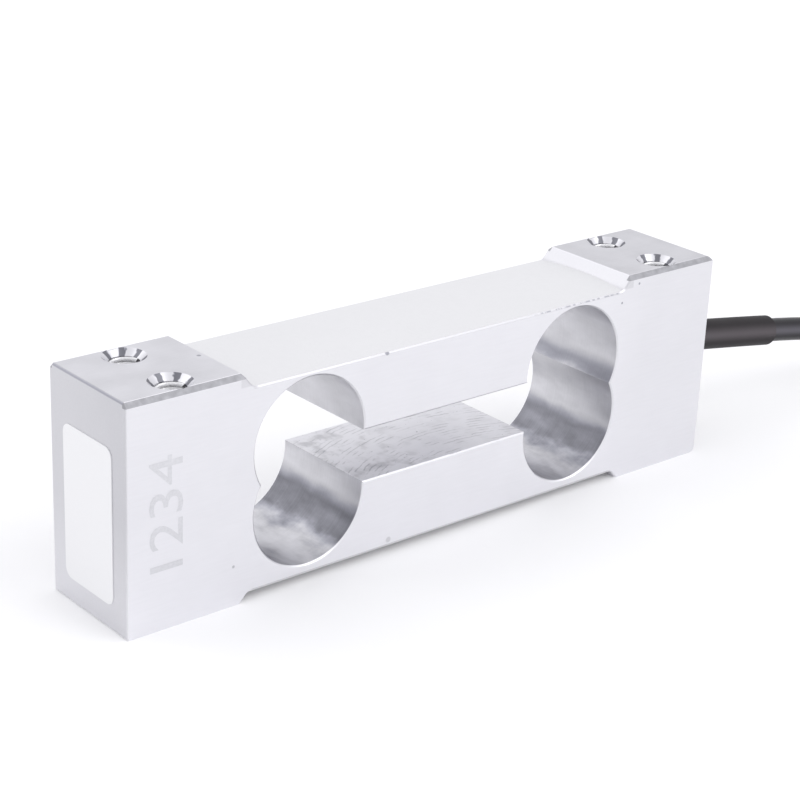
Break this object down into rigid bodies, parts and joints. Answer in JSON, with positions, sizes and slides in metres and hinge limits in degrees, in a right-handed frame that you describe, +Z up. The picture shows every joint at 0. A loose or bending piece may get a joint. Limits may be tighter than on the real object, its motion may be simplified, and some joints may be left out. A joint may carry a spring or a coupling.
{
  "type": "single point load cell",
  "caption": "Aluminium single point load cell: one-piece beam with overlapping bores and a slot, threaded mounting lands, sealed gauge recesses and a potted cable put away in a tied hank.",
  "frame": {"origin": "centre of the beam's underside, on the plane of the two bottom lands", "axes": "+X along the beam from the load end to the cable end, +Y across the beam's width, +Z up"},
  "size_m": [0.3548, 0.0495, 0.046],
  "materials": {
    "machined_aluminium": "satin, milled",
    "gauge_film": "thin polyimide film with a metal grid",
    "solder_board": "coated glass fibre",
    "chip_resistor": "glazed",
    "tinned_ribbon": "tinned copper",
    "enamelled_leads": "enamelled",
    "sealing_rubber": "matt silicone",
    "label_film": "matt film",
    "sleeve_plastic": "matt shrink sleeve",
    "jacket_plastic": "satin",
    "potting_resin": "cast resin",
    "tie_nylon": "moulded",
    "insulation_red": "smooth",
    "insulation_black": "smooth",
    "insulation_green": "smooth",
    "insulation_white": "smooth",
    "bare_drain": "tinned copper"
  },
  "bodies": {
    "root": {"spring_element": "machined_aluminium", "end_label": "label_film", "supply_leads": "enamelled_leads", "cross_leads": "enamelled_leads", "cable_run": "jacket_plastic", "cable_hank": "jacket_plastic", "strain_relief_sleeve": "sleeve_plastic", "entry_potting": "potting_resin", "cable_tie": "tie_nylon", "core_red": "insulation_red", "core_black": "insulation_black", "core_green": "insulation_green", "core_white": "insulation_white", "drain_wire": "bare_drain", "gauge_upper_load_end": "gauge_film", "gauge_upper_fixed_end": "gauge_film", "terminal_board_upper": "solder_board", "gauge_jumpers_upper": "tinned_ribbon", "trim_resistor_upper": "chip_resistor", "sealing_coat_upper": "sealing_rubber", "gauge_lower_load_end": "gauge_film", "gauge_lower_fixed_end": "gauge_film", "terminal_board_lower": "solder_board", "gauge_jumpers_lower": "tinned_ribbon", "trim_resistor_lower": "chip_resistor", "sealing_coat_lower": "sealing_rubber"}
  },
  "joints": []
}
